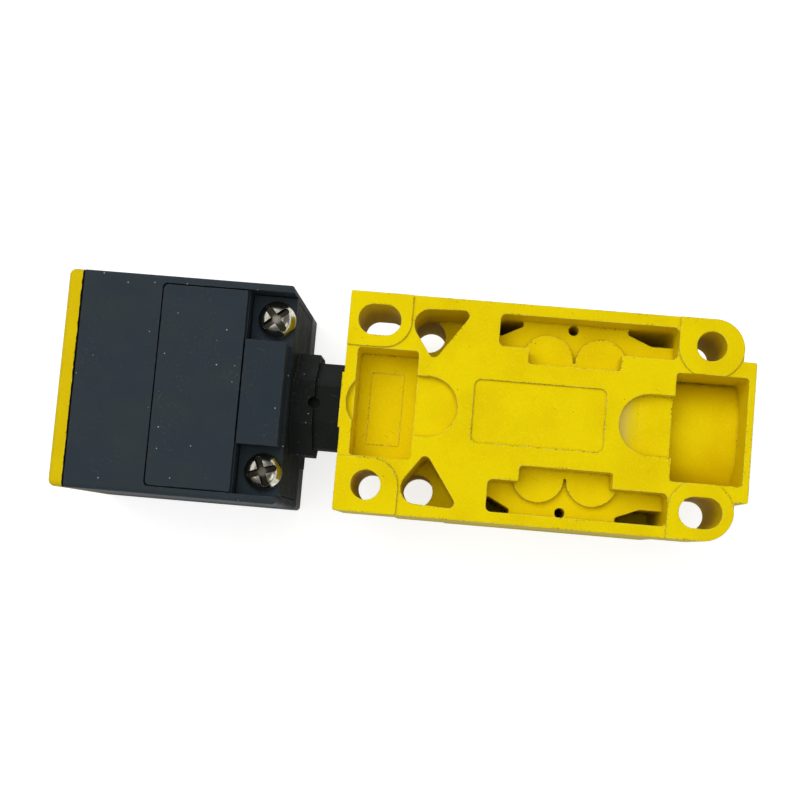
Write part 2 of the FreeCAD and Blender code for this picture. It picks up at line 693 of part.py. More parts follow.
def chamber_ring(name, inner, outer_margin, z):
    rims = []
    for part, grow in (("Outer", outer_margin), ("Inner", inner)):
        rims.append(slab(
            f"{name}{part}",
            (number("chamber_start") - grow, number("chamber_end") + grow),
            (-chamber_half - grow, chamber_half + grow),
            number("chamber_corner") + grow,
            z,
        ))
    return cut(name, rims[0], [rims[1]])


gasket_slack = number("gasket_clearance")
plate_x = number("plate_length") / 2
plate_y = number("plate_height") / 2
head_sink = "cover_head_sink + cover_head_height + washer_thickness"
cover_tools = [
    slab(
        "CoverHollow",
        (number("chamber_start"), number("chamber_end")),
        (-chamber_half, chamber_half),
        number("chamber_corner"),
        ("cover_wall", above),
    ),
    box("TailHollow", ("-base_left + cover_wall", "-chamber_left - cover_wall"),
        across("tower_width - 2 * cover_wall"), ("cover_wall", above)),
    chamber_ring("GasketGroove", gasket_in - gasket_slack, gasket_out + gasket_slack,
                 ("split_height - gasket_height", above)),
    slab("PlateRecess", (-plate_x, plate_x), (-plate_y, plate_y), corner,
         (below, "label_plate_thickness")),
]
cover_tools += both_sides([
    rod_z("CoverCounterbore", cover_screw_at, "cover_head_diameter + 2 * cover_head_room",
          (below, head_sink)),
    rod_z("CoverHole", cover_screw_at, "cover_screw_diameter + 2 * cover_hole_clearance", (below, above)),
])
node("terminal_cover", cut("TerminalCover", cover_body, cover_tools))
gasket_span = ("split_height - gasket_height", "split_height")
node("cover_gasket", chamber_ring("CoverGasket", gasket_in, gasket_out, gasket_span))
plate_in = number("plate_clearance")
node("cover_label_plate", slab(
    "LabelPlate",
    (plate_in - plate_x, plate_x - plate_in),
    (plate_in - plate_y, plate_y - plate_in),
    corner,
    ("0", "label_plate_thickness"),
))
washers = both_sides([cut(
    "Washer",
    rod_z("WasherBlank", cover_screw_at, "cover_head_diameter",
          (f"{head_sink} - washer_thickness", head_sink)),
    [rod_z("WasherHole", cover_screw_at, "cover_screw_diameter + 2 * insert_clearance", (below, above))],
)])
node("cover_washers", group("CoverWashers", washers))
cover_screws = both_sides([cross_screw(
    "CoverScrew", cover_screw_at, f"({head_sink} - washer_thickness)", True,
    ("cover_head_diameter", "cover_head_height"), ("cover_screw_diameter", "cover_screw_length"),
    number("cover_cross_angle"),
)])
node("cover_screws", group("CoverScrews", cover_screws))

# Terminal block on the chamber's ceiling: four clamps dropped in from above, with wire windows at both ends
block_x = ("block_start", "block_end")
screw_x = "block_start + terminal_screw_inset"
thread = "terminal_screw_diameter + 2 * thread_clearance"
block_tools = []
clamps = []
terminal_screws = []
for i in range(4):
    lane = f"{2 * i - 3} * terminal_pitch / 2"
    screw_at = (screw_x, lane)
    clamp_y = (f"{lane} - clamp_width / 2", f"{lane} + clamp_width / 2")
    room_y = (f"{clamp_y[0]} - clamp_clearance", f"{clamp_y[1]} + clamp_clearance")
    window_y = (f"{clamp_y[0]} + clamp_wall / 2", f"{clamp_y[1]} - clamp_wall / 2")
    window = box(f"ClampWindow{i}", (f"block_start - {overrun}", f"block_end + {overrun}"), window_y,
                 ("clamp_window_floor", "clamp_window_top"))
    block_tools += [
        box(f"ClampRoom{i}", ("clamp_start - clamp_clearance", "clamp_end + clamp_clearance"), room_y,
            ("clamp_seat", above)),
        window,
        rod_z(f"TerminalAccess{i}", screw_at, "terminal_head_diameter + 2 * clamp_clearance",
              (below, "clamp_seat")),
    ]
    clamp_blank = box(f"ClampBlank{i}", ("clamp_start", "clamp_end"), clamp_y, ("clamp_seat", "clamp_top"))
    clamp_thread = rod_z(f"ClampThread{i}", screw_at, thread, (below, f"clamp_window_floor + {overrun}"))
    clamps.append(cut(f"Clamp{i}", clamp_blank, [window, clamp_thread]))
    terminal_screws.append(cross_screw(
        f"TerminalScrew{i}", screw_at, "clamp_seat", True,
        ("terminal_head_diameter", "terminal_head_height"),
        ("terminal_screw_diameter", "terminal_screw_reach"), i * number("terminal_cross_step"),
    ))
block_blank = fuse("BlockBlank", [
    box("BlockBody", block_x, across("block_width"), ("block_bottom", "ceiling_height")),
    box("BlockFoot", ("block_start", "foot_end"), across("block_width"),
        ("ceiling_height - foot_thickness", "ceiling_height")),
])
block_seat = "(ceiling_height - foot_thickness)"
block_tools += both_sides([
    rod_z("BlockHole", block_screw_at, "block_screw_diameter + 2 * clamp_clearance", (below, above)),
])
node("terminal_block", cut("TerminalBlock", block_blank, block_tools))
node("terminal_clamps", group("TerminalClamps", clamps))
node("terminal_screws", group("TerminalScrews", terminal_screws))
block_screws = both_sides([cross_screw(
    "BlockScrew", block_screw_at, block_seat, True, ("block_head_diameter", "block_head_height"),
    ("block_screw_diameter", f"({bite} - {block_seat})"), number("block_cross_angle"),
)])
node("terminal_block_screws", group("BlockScrews", block_screws))

# Slide bush with its flange behind the chamber wall, and its seal
bush_bore = "journal_diameter + 2 * bush_clearance"
bush_seal_x = "bush_start + bush_seal_place"
seal_room = "seal_thickness + 2 * seal_clearance"
seal_span = (f"{bush_seal_x} - ({seal_room}) / 2", f"{bush_seal_x} + ({seal_room}) / 2")
bush_groove = cut(
    "BushGroove",
    rod_x("BushGrooveOuter", seal_span, f"bush_diameter + {overrun}"),
    [rod_x("BushGrooveInner", seal_span, f"bush_diameter + 2 * bush_clearance - 2 * ({seal_room})")],
)
bush_blank = fuse("BushBlank", [
    rod_x("BushTube", ("bush_start", "bush_end"), "bush_diameter"),
    rod_x("BushFlange", ("bush_seat", "bush_end"), "bush_flange_diameter"),
])
node("slide_bush", cut("SlideBush", bush_blank, [
    rod_x("BushBoreHole", (f"bush_start - {overrun}", f"bush_end + {overrun}"), bush_bore), bush_groove,
]))
seal_section = "seal_thickness / 2"
seal_inset = f"bush_clearance - seal_clearance - {seal_section}"
node("bush_seal", torus_x("BushSeal", bush_seal_x, f"bush_diameter / 2 + {seal_inset}", seal_section))

# Neck bracket: tongue, screw flange and stem in the head, octagonal collar and neck, journal in the bush
flange_span = ("pocket_front + bracket_clearance", "head_rear")
flange_width = "side_plate_width - 2 * bracket_clearance"
swivel_x = "bush_start + swivel_seal_place"
swivel_span = (f"{swivel_x} - ({seal_room}) / 2", f"{swivel_x} + ({seal_room}) / 2")
ring_span = ("ring_start - ring_clearance", "ring_start + ring_thickness + ring_clearance")
ring_root = "journal_diameter - 2 * ring_groove_depth"
bracket_blank = fuse("BracketBlank", [
    box("Tongue", (flange_span[0], "head_rear - tongue_setback"), across("tongue_width"),
        ("flange_bottom", "head_top")),
    box("Flange", flange_span, across(flange_width), ("flange_bottom", "flange_top")),
    box("Stem", ("stem_front", "head_rear"), across("stem_width"),
        ("axis_height - stem_drop", "flange_top")),
    box("RearPlate", ("head_rear - rear_plate_thickness", "head_rear"), across("rear_plate_width"),
        ("axis_height - stem_drop", "flange_top")),
    octagon_x("Collar", ("head_rear", "collar_face"), "collar_flats"),
    octagon_x("Neck", ("head_rear", "neck_end"), "neck_flats"),
    rod_x("Journal", ("head_rear", "journal_end"), "journal_diameter"),
])
head_screw_at = ("head_rear - head_screw_inset", "head_screw_y")
ring_groove = cut(
    "RingGroove",
    rod_x("RingGrooveOuter", ring_span, f"journal_diameter + {overrun}"),
    [rod_x("RingGrooveInner", ring_span, ring_root)],
)
swivel_groove = cut(
    "SwivelGroove",
    rod_x("SwivelGrooveOuter", swivel_span, f"journal_diameter + {overrun}"),
    [rod_x("SwivelGrooveInner", swivel_span, f"{bush_bore} - 2 * ({seal_room})")],
)
node("neck_bracket", cut("NeckBracket", bracket_blank, [
    rod_x("NeckBore", (f"stem_front - {overrun}", f"journal_end + {overrun}"), "neck_bore_diameter"),
    rod_z("NeckPinHole", ("collar_face", "0"), "neck_pin_diameter",
          ("axis_height + collar_flats / 2 - neck_pin_depth", above)),
    ring_groove,
    swivel_groove,
] + both_sides([
    rod_z("FlangeHole", head_screw_at, "head_screw_diameter + 2 * bracket_clearance", (below, above)),
])))
node("swivel_seal", torus_x("SwivelSeal", swivel_x, f"journal_diameter / 2 + {seal_inset}", seal_section))
ring_blank = rod_x("RingBlank", ("ring_start", "ring_start + ring_thickness"), "ring_diameter")
past_ring = (f"ring_start - {overrun}", f"ring_start + ring_thickness + {overrun}")
node("neck_retaining_ring", cut("RetainingRing", ring_blank, [
    rod_x("RingHole", past_ring, f"{ring_root} + 2 * ring_clearance"),
    box("RingMouth", past_ring, across("ring_mouth"), ("axis_height", above)),
]))

# Sensing head: shell with an open front, a seat for the side plate and a pocket for the bracket
head_y = across("section_width")
head_z = ("head_bottom", "head_top")
shell_box = box("ShellBox", ("shell_front", "head_rear"), head_y, head_z)
shell_blank = rounded(shell_box, "head_round", lambda edge: (
    runs_along(edge, "x") or (runs_along(edge, "z") and lies_at(edge, "x", number("head_rear")))
))
cavity = box("Cavity", (f"shell_front - {overrun}", "head_rear - head_wall"), across("cavity_width"),
             ("head_bottom + head_wall", "head_top - head_roof"))
plate_span = ("pocket_front - side_plate_length", "pocket_front")
past_top = f"head_top + {overrun}"
past_rear = f"head_rear + {overrun}"
plate_front = number("pocket_front") - number("side_plate_length")
plate_well = rounded(
    box("PlateWell", plate_span, across("side_plate_width"), ("head_top - side_plate_thickness", past_top)),
    "side_plate_corner",
    lambda edge: runs_along(edge, "z") and lies_at(edge, "x", plate_front),
)
plate_hole = box("PlateHole", (f"{plate_span[0]} + side_plate_ledge", "pocket_front - drop_wall"),
                 across("cavity_width - 2 * side_plate_ledge"),
                 (f"head_top - head_roof - {overrun}", past_top))
pocket = box("BracketPocket", ("pocket_front", past_rear), across("side_plate_width"),
             ("flange_bottom - bracket_clearance", past_top))
stem_room = box("StemRoom", (f"stem_front - {overrun}", past_rear),
                across("stem_width + 2 * bracket_clearance"),
                ("axis_height - stem_drop - bracket_clearance", "head_top"))
rear_plate_room = box("RearPlateRoom", ("head_rear - rear_plate_thickness - bracket_clearance", past_rear),
                      across("rear_plate_width + 2 * rear_plate_gap"),
                      ("axis_height - stem_drop - rear_plate_gap", "head_top"))
window_y = ("half_width - window_width", "half_width")
window_span = ("head_rear - window_length", "head_rear")
window_room = box("WindowRoom", (f"{window_span[0]} - window_clearance", past_rear),
                  (f"{window_y[0]} - window_clearance", f"{window_y[1]} + {overrun}"),
                  (f"head_bottom - {overrun}", "head_bottom + window_height + window_clearance"))
drop_wall = box("DropWall", ("pocket_front - drop_wall", "pocket_front"),
                across("cavity_width + head_wall"), ("flange_bottom", "head_top - side_plate_thickness"))
rail_y = ("cavity_width / 2 - rail_width", "(cavity_width + head_wall) / 2")
rail = box("BoardRail", ("carrier_back", "rail_end"), rail_y, ("head_bottom + head_wall / 2", "rail_top"))
carrier_stop = box("CarrierStop", ("carrier_back", "carrier_back + rail_width"), rail_y,
                   ("head_top - head_roof - rail_width", "head_top - head_roof / 2"))
screw_boss = rod_z("ScrewBoss", head_screw_at, "screw_boss_diameter",
                   ("flange_bottom - screw_boss_length", "flange_bottom - bracket_clearance"))
shell_walls = cut("ShellWalls", shell_blank, [cavity, plate_well, plate_hole, pocket])
shell_ribs = fuse("ShellRibs", [shell_walls, drop_wall] + both_sides([rail, carrier_stop, screw_boss]))
node("head_shell", cut("HeadShell", shell_ribs, [stem_room, rear_plate_room] + both_sides([
    window_room,
    rod_z("BossThread", head_screw_at, "head_screw_diameter + 2 * thread_clearance",
          ("flange_top - head_screw_length - thread_clearance", past_top)),
])))

# Side plate let into the shell
gap = "side_plate_clearance"
side_plate = box(
    "SidePlateBlank",
    (f"{plate_span[0]} + {gap}", f"{plate_span[1]} - {gap}"),
    across(f"side_plate_width - 2 * {gap}"),
    ("head_top - side_plate_thickness", "head_top"),
)
node("side_plate", rounded(side_plate, "side_plate_corner", lambda edge: (
    runs_along(edge, "z") and lies_at(edge, "x", plate_front + number(gap))
)))

# Head screws, with their cross recesses turned as they were left
screw_head = ("screw_head_diameter", "screw_head_height")
screw_shank = ("head_screw_diameter", "head_screw_length")
lower_at = (head_screw_at[0], f"-{head_screw_at[1]}")
upper_turn = number("upper_cross_angle")
lower_turn = number("lower_cross_angle")
node("head_screws", group("HeadScrews", [
    cross_screw("UpperScrew", head_screw_at, "flange_top", False, screw_head, screw_shank, upper_turn),
    cross_screw("LowerScrew", lower_at, "flange_top", False, screw_head, screw_shank, lower_turn),
]))

# Translucent rear corners that show the lamps
window_box = box("WindowBox", window_span, window_y, ("head_bottom", "head_bottom + window_height"))
window_faces = [("x", number("head_rear")), ("y", half_width), ("z", number("head_bottom"))]
window = rounded(window_box, "head_round", lambda edge: (
    sum(lies_at(edge, *face) for face in window_faces) == 2
))
node("led_windows", group("LedWindows", both_sides([window])))

# Sensing face cap with a skirt in the shell and a ring round the core, and its joint
cap_box = box("CapBox", ("head_front", "cap_back"), head_y, head_z)
cap_plate = rounded(cap_box, "cap_round", lambda edge: (
    runs_along(edge, "x") or lies_at(edge, "x", number("head_front"))
))
skirt_span = ("cap_back", "cap_back + skirt_length")
before_back = f"cap_back - {overrun}"


def inside_shell(name, span, inset):
    shell_z = (f"head_bottom + head_wall + {inset}", f"head_top - head_roof - {inset}")
    return box(name, span, across(f"cavity_width - 2 * ({inset})"), shell_z)


skirt = cut(
    "Skirt",
    inside_shell("SkirtOuter", skirt_span, "skirt_clearance"),
    [inside_shell("SkirtInner", (before_back, f"{skirt_span[1]} + {overrun}"),
                  "skirt_clearance + skirt_wall")],
)
ring_bore = "core_diameter + 2 * core_clearance"
ring_length = ("cap_back", "cap_back + locating_ring_length")
locating_ring = cut(
    "LocatingRing",
    rod_x("LocatingOuter", ring_length, f"{ring_bore} + 2 * locating_ring_wall"),
    [rod_x("LocatingBore", (before_back, f"{ring_length[1]} + {overrun}"), ring_bore)],
)
node("sensing_face_cap", fuse("FaceCap", [cap_plate, skirt, locating_ring]))
joint_outer = box("JointOuter", ("cap_back", "shell_front"), across("section_width - 2 * joint_inset"),
                  ("head_bottom + joint_inset", "head_top - joint_inset"))
node("cap_gasket", cut("CapGasket", joint_outer, [
    inside_shell("JointInner", (before_back, f"shell_front + {overrun}"), "0"),
]))

# Ferrite core open to the sensing face, with the coil on its former
groove_outer = "core_diameter - 2 * core_rim"
groove_span = (before_back, "core_back - core_back_wall")
core_groove = cut(
    "CoreGroove",
    rod_x("CoreGrooveOuter", groove_span, groove_outer),
    [rod_x("CorePost", groove_span, "core_post_diameter")],
)
core_blank = rod_x("CoreBlank", ("cap_back", "core_back"), "core_diameter")
node("ferrite_core", cut("FerriteCore", core_blank, [core_groove]))
former_bore = "core_post_diameter + 2 * core_clearance"
former_disc = f"{groove_outer} - 2 * core_clearance"
former_span = ("cap_back + core_clearance", "core_back - core_back_wall")
winding_span = (f"{former_span[0]} + former_wall", f"{former_span[1]} - former_wall")
barrel = f"{former_bore} + 2 * former_wall"
former_waist = cut(
    "FormerWaist",
    rod_x("WaistOuter", winding_span, "core_diameter"),
    [rod_x("WaistInner", winding_span, barrel)],
)
node("coil_former", cut("CoilFormer", rod_x("FormerBlank", former_span, former_disc), [
    former_waist, rod_x("FormerBore", (before_back, "core_back"), former_bore),
]))
node("coil_winding", cut(
    "CoilWinding",
    rod_x("WindingBlank", winding_span, f"{barrel} + 2 * winding_depth"),
    [rod_x("WindingBore", ("cap_back", "core_back"), barrel)],
))
carrier_blank = inside_shell("CarrierBlank", ("core_back", "carrier_back"), "skirt_clearance")
node("coil_carrier", cut("CoilCarrier", carrier_blank, [
    rod_x("CarrierOpening", (f"core_back - {overrun}", f"carrier_back + {overrun}"), "carrier_opening"),
]))

# Circuit board on the shell's rails, with its parts and lamps
node("circuit_board", box(
    "CircuitBoard",
    ("carrier_back + board_clearance", "rail_end"),
    across("cavity_width - 2 * board_clearance"),
    ("rail_top", "board_top"),
))
board_middle = "(carrier_back + rail_end) / 2"
parts = []
for i, (shift, side) in enumerate([("chip_length / 2", -1), ("-chip_length / 2", 1)]):
    chip_x = f"{board_middle} + {shift}"
    chip_y = f"{side} * chip_y"
    parts.append(box(
        f"Chip{i}",
        (f"{chip_x} - chip_length / 2", f"{chip_x} + chip_length / 2"),
        (f"{chip_y} - chip_width / 2", f"{chip_y} + chip_width / 2"),
        ("board_top", "board_top + chip_height"),
    ))
    parts.append(rod_z(f"Capacitor{i}", (board_middle, f"{side} * capacitor_y"), "capacitor_diameter",
                       ("board_top", "board_top + capacitor_height")))
node("board_components", group("BoardComponents", parts))
lamp_y = "cavity_width / 2 - rail_width - led_length"
lamp = box("Lamp", ("rail_end - led_length", "rail_end"),
           (f"{lamp_y} - led_length / 2", f"{lamp_y} + led_length / 2"),
           ("rail_top - led_height", "rail_top"))
node("status_leds", group("StatusLeds", both_sides([lamp])))

# Grommet in the stem, wires from the board through the neck, and leads on to the clamps
sleeve = "neck_bore_diameter - 2 * grommet_clearance"
sleeve_span = ("stem_front", "stem_front + grommet_length")
flange_face = "stem_front - grommet_flange"
grommet_blank = fuse("GrommetBlank", [
    rod_x("GrommetSleeve", sleeve_span, sleeve),
    rod_x("GrommetFlange", (flange_face, "stem_front"), "neck_bore_diameter + 2 * grommet_wall"),
])
node("wire_grommet", cut("WireGrommet", grommet_blank, [
    rod_x("GrommetHole", (f"{flange_face} - {overrun}", f"{sleeve_span[1]} + {overrun}"),
          f"{sleeve} - 2 * grommet_wall"),
]))
wire_radius = number("wire_diameter") / 2
wire_offset = number("wire_spacing") / 2
wire_end = number("journal_end") + number("wire_stub")
axis_z = number("axis_height")
clamp_mouth_z = number("clamp_window_floor") + number("clamp_window") / 2
lead_turn = number("lead_straight")
lead_end = number("clamp_start") + number("lead_grip")
wires = []
leads = []
for i, (lane, side_y, side_z) in enumerate([(-3, -1, 1), (-1, -1, -1), (1, 1, -1), (3, 1, 1)]):
    y = side_y * wire_offset
    z = axis_z + side_z * wire_offset
    reach = number("far_wire_reach") if side_z > 0 else number("near_wire_reach")
    drop_x = number("stem_front") - reach
    route = [(drop_x, y, number("board_top")), (drop_x, y, z), (wire_end, y, z)]
    wires.append(wire_run(route, number("wire_bend"), wire_radius))
    lane_y = lane * number("terminal_pitch") / 2
    route = [
        (wire_end, y, z),
        (wire_end + lead_turn, y, z),
        (number("block_start") - lead_turn, lane_y, clamp_mouth_z),
        (lead_end, lane_y, clamp_mouth_z),
    ]
    leads.append(wire_run(route, number("lead_bend"), wire_radius))
for name, solids in (("lead_wires", wires), ("terminal_leads", leads)):
    item = doc.addObject("Part::Feature", name)
    item.Shape = Part.makeCompound(solids)
    node(name, item)

doc.recompute()
for item in doc.Objects:
    if "Invalid" in item.State or "Error" in item.State:
        raise RuntimeError(f"{item.Name} failed: {item.State}")
for name, item in nodes.items():
    if item.Shape.isNull() or not item.Shape.isValid() or not item.Shape.Solids:
        raise RuntimeError(f"{name} has no valid solid")

os.makedirs("parts", exist_ok=True)
for name, item in nodes.items():
    item.Shape.exportStep(f"parts/{name}.step")
    print(name, len(item.Shape.Solids), round(item.Shape.Volume, 1))
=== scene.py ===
import math

import bmesh
import bpy
from mathutils import Matrix, Vector


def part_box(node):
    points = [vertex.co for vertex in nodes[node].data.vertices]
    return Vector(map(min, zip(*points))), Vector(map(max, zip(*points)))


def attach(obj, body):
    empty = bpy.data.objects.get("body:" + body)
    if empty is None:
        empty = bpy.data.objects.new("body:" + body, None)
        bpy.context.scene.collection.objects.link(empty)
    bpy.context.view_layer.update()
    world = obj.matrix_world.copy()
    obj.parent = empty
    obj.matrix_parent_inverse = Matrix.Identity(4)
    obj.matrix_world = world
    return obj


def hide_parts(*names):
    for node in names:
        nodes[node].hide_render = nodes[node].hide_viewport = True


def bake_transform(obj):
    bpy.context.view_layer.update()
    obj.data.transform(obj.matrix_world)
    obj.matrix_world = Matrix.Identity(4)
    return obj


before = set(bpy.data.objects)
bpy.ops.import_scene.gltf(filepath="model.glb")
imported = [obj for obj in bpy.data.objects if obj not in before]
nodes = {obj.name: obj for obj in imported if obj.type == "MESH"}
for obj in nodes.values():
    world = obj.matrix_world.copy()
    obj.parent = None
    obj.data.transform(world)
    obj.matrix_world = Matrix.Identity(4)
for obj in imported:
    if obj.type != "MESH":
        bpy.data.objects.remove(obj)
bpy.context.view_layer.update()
scene = bpy.context.scene
scene.view_settings.view_transform = "Standard"
mm = 0.001
white = (1, 1, 1, 1)
print("sensor loaded:", len(nodes), "CAD pieces")

# the photo's view: nearly straight down on the mounting face
viewFromAbove = {
    "eye": (-12.25 * mm, -25.17 * mm, 290 * mm),
    "look": (-0.0346, 0.0759, -1),
    "roll": 0.0862,      # radians, turns the object clockwise
    "lens": 62.83,
    "sensor": 36,
    "shift": (-0.025, 0.05),
    "nearest": 5 * mm,
}


def setCamera(settings):
    forward = Vector(settings["look"]).normalized()
    side = forward.cross(Vector((0, 1, 0))).normalized()
    top = side.cross(forward)
    c, s = math.cos(settings["roll"]), math.sin(settings["roll"])
    right, up = c * side + s * top, c * top - s * side
    camera = bpy.data.objects.new("photoCamera", bpy.data.cameras.new("photoCamera"))
    camera.data.sensor_width = settings["sensor"]
    camera.data.lens = settings["lens"]
    camera.data.shift_x, camera.data.shift_y = settings["shift"]
    camera.data.clip_start = settings["nearest"]
    turn = Matrix((right, up, -forward)).transposed()
    camera.matrix_world = Matrix.Translation(settings["eye"]) @ turn.to_4x4()
    scene.collection.objects.link(camera)
    scene.camera = camera


setCamera(viewFromAbove)


# short ways to lay nodes
def addNode(tree, kind, inputs=None, **settings):
    made = tree.nodes.new("ShaderNode" + kind)
    for name, value in settings.items():
        setattr(made, name, value)
    for key, value in (inputs or {}).items():
        plug(tree, made.inputs[key], value)
    return made


def plug(tree, socket, value):
    if isinstance(value, bpy.types.NodeSocket):
        tree.links.new(value, socket)
    else:
        socket.default_value = value


def startFinish(name, shaderValues):
    finish = bpy.data.materials.new(name)
    finish.use_nodes = True
    tree = finish.node_tree
    shader = tree.nodes["Principled BSDF"]
    for key, value in shaderValues.items():
        shader.inputs[key].default_value = value
    where = addNode(tree, "TexCoord").outputs["Object"]
    return finish, tree, shader, where


def endFinish(tree, shader, colour, rough, normal):
    for socket, value in (("Base Color", colour), ("Roughness", rough), ("Normal", normal)):
        plug(tree, shader.inputs[socket], value)


def axesOf(tree, where):
    return addNode(tree, "SeparateXYZ", {0: where}).outputs


def spread(tree, value, low, high, first=0.0, last=1.0):
    return addNode(tree, "MapRange", {
        "Value": value, "From Min": low, "From Max": high, "To Min": first, "To Max": last,
    }).outputs[0]


def cloud(tree, where, size, detail=2.0):
    noise = addNode(tree, "TexNoise", {"Vector": where, "Scale": 1 / size, "Detail": detail})
    return noise.outputs[0]


def blotches(tree, where, size, low, high, first=0.0, last=1.0, detail=2.0):
    return spread(tree, cloud(tree, where, size, detail), low, high, first, last)


def varied(tree, noise, ends, low=0.3, high=0.7):      # most of a cloud lies between low and high
    return spread(tree, noise, low, high, *ends)


def blendColour(tree, share, first, second):
    mix = addNode(tree, "Mix", data_type="RGBA")
    for index, value in ((0, share), (6, first), (7, second)):
        plug(tree, mix.inputs[index], value)
    return mix.outputs[2]


def math2(tree, operation, first, second):
    made = addNode(tree, "Math", {0: first, 1: second}, operation=operation, use_clamp=True)
    return made.outputs[0]


def times(tree, first, second):
    return math2(tree, "MULTIPLY", first, second)


def dots(tree, where, gap, radius, share, core=0.5):
    cells = addNode(tree, "TexVoronoi", {"Vector": where, "Scale": 1 / gap})
    dot = spread(tree, cells.outputs["Distance"], radius / gap, core * radius / gap)
    pick = addNode(tree, "SeparateColor", {0: cells.outputs["Color"]}).outputs[0]
    return times(tree, dot, math2(tree, "LESS_THAN", pick, share))


# the softened normal, and 1 where there is an edge
def roundedEdge(tree, radius, flatAt=0.985, edgeAt=0.86, samples=6):
    soft = addNode(tree, "Bevel", {"Radius": radius}, samples=samples).outputs[0]
    flat = addNode(tree, "NewGeometry").outputs["Normal"]
    match = addNode(tree, "VectorMath", {0: soft, 1: flat}, operation="DOT_PRODUCT")
    return soft, spread(tree, match.outputs["Value"], flatAt, edgeAt)


# 1 deep in an inner corner, 0 in the open
def corners(tree, reach, deepest=0.35, clearAt=0.92, samples=12):
    openness = addNode(
        tree, "AmbientOcclusion", {"Distance": reach}, only_local=True, samples=samples)
    return spread(tree, openness.outputs["AO"], clearAt, deepest)


# few short scratches, all about one way
def dashes(tree, where, gap, length, width, turn, share):
    turned = addNode(tree, "VectorRotate", {"Vector": where, "Angle": turn}, rotation_type="Z_AXIS")
    stretch = (width / length, 1, 1)
    drawn = addNode(tree, "VectorMath", {0: turned.outputs[0], 1: stretch}, operation="MULTIPLY")
    return dots(tree, drawn.outputs[0], gap, width / 2, share)


def inBox(tree, where, low, high, soft):      # 1 inside a box, with soft sides
    inside = None
    for axis, first, last in zip(axesOf(tree, where), low, high):
        side = times(tree, spread(tree, axis, first - soft, first + soft),
                     spread(tree, axis, last + soft, last - soft))
        inside = side if inside is None else times(tree, inside, side)
    return inside


def bumpFrom(tree, height, distance, normal=None, strength=1.0):
    inputs = {"Height": height, "Distance": distance, "Strength": strength}
    if normal is not None:
        inputs["Normal"] = normal
    return addNode(tree, "Bump", inputs).outputs[0]


# yellow moulding of base, lid and cap: satin, speckled, painted shade in the corners, rubbed and
# dirty edges
yellowPlastic = {
    "face": (0.80, 0.620, 0.0012, 1),
    "patch": (0.735, 0.545, 0.001, 1),
    "grain": (0.87, 0.73, 0.010, 1),
    "grimeAndShade": (0.24, 0.155, 0.004, 1),
    "rubbed": (0.90, 0.80, 0.12, 1),
    "speck": (0.07, 0.045, 0.008, 1),
    "sealant": (0.011, 0.010, 0.008, 1),
    "frost": (0.72, 0.57, 0.13, 1),
    "shine": {"IOR": 1.5, "Specular IOR Level": 0.16, "Specular Tint": (1, 0.86, 0.12, 1)},
    "rough": (0.44, 0.58),
    "cornerShadeRough": 0.25,
    "edge": 0.36 * mm,
    "patches": {"size": 9 * mm, "detail": 4, "low": 0.40, "high": 0.66},
    "fine": {"size": 0.32 * mm, "detail": 3},
    "paleGrain": {"low": 0.53, "high": 0.72, "last": 0.5},
    "darkGrain": {"low": 0.45, "high": 0.29, "last": 0.5},
    "relief": {"distance": 0.03 * mm, "strength": 0.5},
    "cornerReach": 0.8 * mm,
    "cornerShadePatches": {"size": 1.6 * mm, "detail": 4, "low": 0.36, "high": 0.62, "first": 0.3},
    "cornerShare": 0.45,
    "edgeRub": {
        "size": 2.2 * mm, "detail": 4, "low": 0.40, "high": 0.58, "first": 0.1, "last": 0.8},
    "edgeDirt": {"size": 0.9 * mm, "detail": 5, "low": 0.56, "high": 0.67, "last": 0.75},
    "scratches": {"gap": 0.9 * mm, "length": 1.6 * mm, "width": 0.11 * mm, "share": 0.5},
    "scratchTurns": (0.5, -0.9),
    "scratchShare": 0.5,
    "specks": {"gap": 1.5 * mm, "radius": 0.12 * mm, "share": 0.1},
    "dirtReach": 0.9 * mm,
    "dirtPlaces": {"size": 7 * mm, "detail": 3, "low": 0.46, "high": 0.57},
    "dirtGrains": {"size": 0.4 * mm, "detail": 4, "low": 0.54, "high": 0.64, "last": 0.8},
    "sealantEdge": {"size": 1.3 * mm, "detail": 4, "low": 0.35, "high": 0.68, "last": 0.17 * mm},
    "sealantSoft": 0.03 * mm,
}
# the cap: the same yellow painted darker, as painted shade for the less light it gets
capShadedPlastic = dict(
    yellowPlastic,
    face=(0.665, 0.492, 0.002, 1),
    patch=(0.62, 0.445, 0.002, 1),
    grain=(0.71, 0.56, 0.012, 1),
)
scoopFrost = {
    "box": {
        "low": (13.9 * mm, -5.2 * mm, 36 * mm),
        "high": (19.4 * mm, 5.2 * mm, 39.35 * mm),
        "soft": 0.2 * mm,
    },
    "fade": {"low": 17.9 * mm, "high": 14.6 * mm, "first": 0.12, "last": 0.9},
    "grains": {"size": 0.22 * mm, "detail": 3, "low": 0.3, "high": 0.7},
    "crisp": {"low": -0.12, "high": 0.22, "last": 0.9},
}


